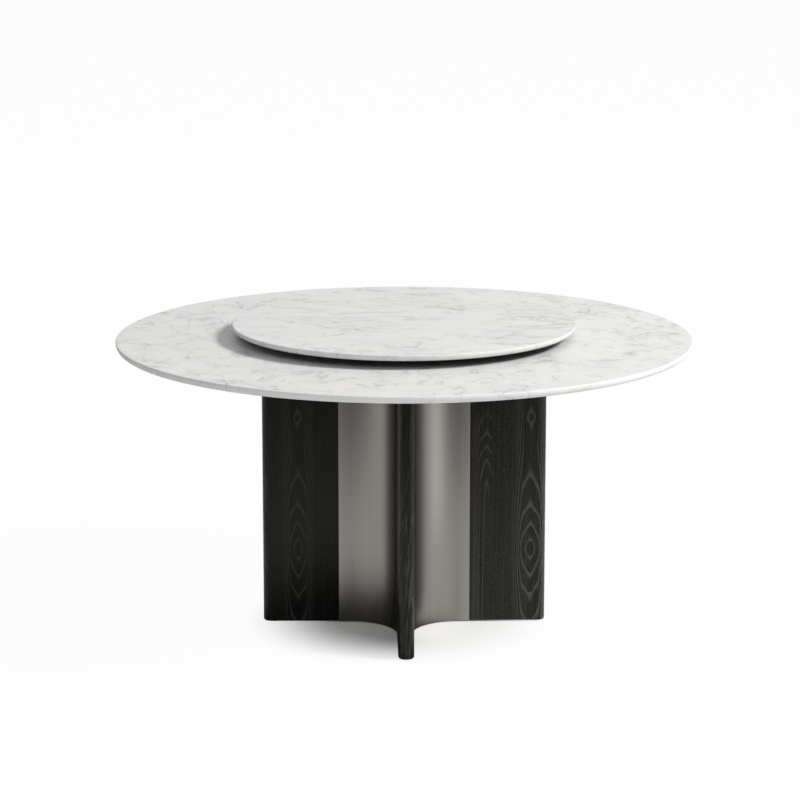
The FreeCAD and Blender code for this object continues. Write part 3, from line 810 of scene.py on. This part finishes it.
def turnedFinish(name, tint, rough):
    paint, place = newFinish(name)
    radius = fromAxis(place) * turnedMetal["ringScale"]
    rings = noise(place.node("ShaderNodeCombineXYZ", {}, {0: radius}), 1)
    smudge = noise(place, turnedMetal["smudgeScale"], detail=3)
    dull = rings * turnedMetal["ringDull"] + smudge * turnedMetal["smudgeDull"]
    uneven = swing(rings) * turnedMetal["ringRough"] + swing(smudge) * turnedMetal["smudgeRough"]
    return closeFinish(paint, place, {
        "Base Color": blendTint(dull, tint, toned(tint, turnedMetal["dullTone"])),
        "Metallic": 1.0,
        "Roughness": rough + uneven,
        "Normal": bump(rings, *turnedMetal["bump"]),
    })


def platedFinish(name, tint, rough):             # small steel parts, plated or ground
    paint, place = newFinish(name)
    smudge = noise(place, platedMetal["smudgeScale"], detail=3, roughness=0.6)
    speck = noise(place, platedMetal["speckScale"])
    dull = step(smudge, *platedMetal["smudgeRange"]) * platedMetal["smudgeDull"]
    return closeFinish(paint, place, {
        "Base Color": blendTint(dull, tint, toned(tint, platedMetal["dullTone"])),
        "Metallic": 1.0,
        "Roughness": rough + smudge * platedMetal["smudgeRough"],
        "Normal": bump(speck, *platedMetal["bump"]),
    })


def coatedFinish(name, tint, rough, peelScale, peelDepth):   # paint, powder coat, moulded plastic, rubber
    paint, place = newFinish(name)
    peel = noise(place, peelScale)
    worn = noise(place, coating["wornScale"], detail=4, roughness=0.6)
    wornTint = toned(tint, coating["wornTone"], coating["wornLift"])
    return closeFinish(paint, place, {
        "Base Color": blendTint(step(worn, *coating["wornRange"]) * coating["wornShare"], tint, wornTint),
        "Roughness": rough + swing(worn) * coating["wornRough"],
        "Specular IOR Level": coating["shine"],
        "Normal": bump(peel, coating["bump"], peelDepth),
    })


def plywoodFinish(name):      # raw birch with a soft grain and dark flecks
    paint, place = newFinish(name)
    grain = stretched(drifted(place, *birch["drift"]), birch["grain"], detail=4, roughness=0.6)
    flecks = stretched(place, birch["flecks"])
    tint = blendTint(step(grain, *birch["grainRange"]), birch["pale"], birch["brown"])
    tint = blendTint(step(flecks, *birch["fleckRange"]) * birch["fleckShare"], tint, birch["fleck"])
    return closeFinish(paint, place, {
        "Base Color": tint,
        "Roughness": birch["rough"] + grain * birch["grainRough"],
        "Normal": bump(flecks, *birch["bump"]),
    })


def dressFrame():
    black = {"tint": (0.012, 0.012, 0.012, 1), "rough": 0.55, "peelScale": 500, "peelDepth": 0.0002}
    powder = {"tint": (0.014, 0.014, 0.0145, 1), "rough": 0.42, "peelScale": 1100, "peelDepth": 0.0003}
    nylon = {"tint": (0.02, 0.02, 0.02, 1), "rough": 0.45, "peelScale": 900, "peelDepth": 0.0002}
    silicone = {"tint": (0.42, 0.42, 0.41, 1), "rough": 0.5, "peelScale": 700, "peelDepth": 0.0002}
    finishes = {
        "plywood": plywoodFinish("birch_plywood"),
        "black_board": coatedFinish("black_board_paint", **black),
        "black_steel": coatedFinish("black_powder_coat", **powder),
        "zinc_steel": platedFinish("zinc_plate", tint=(0.55, 0.55, 0.53, 1), rough=0.28),
        "bearing_steel": platedFinish("ground_steel", tint=(0.60, 0.60, 0.61, 1), rough=0.14),
        "aluminium": turnedFinish("turned_aluminium", tint=(0.56, 0.56, 0.57, 1), rough=0.3),
        "nylon": coatedFinish("black_nylon", **nylon),
        "silicone": coatedFinish("grey_silicone", **silicone),
        "bronze": turnedFinish("oiled_bronze", tint=(0.50, 0.32, 0.15, 1), rough=0.35),
    }
    for row in frame["record"]["subparts"]:
        node = frame["nodes"][row["node"]]
        finish = finishes.get(row["material_slot"])
        if finish and not node.hide_render:
            node.data.materials.clear()
            node.data.materials.append(finish)
    print("frame pieces dressed")


bpy.context.scene.view_settings.view_transform = "Standard"
startFresh()
setCamera()
setKey()
setPanels()
setRoom()
setFloor()
print("studio set")
modelStone(stoneTop)
modelStone(stoneDisc)
makeWings()
makeCoves()
dressFrame()

startFresh()
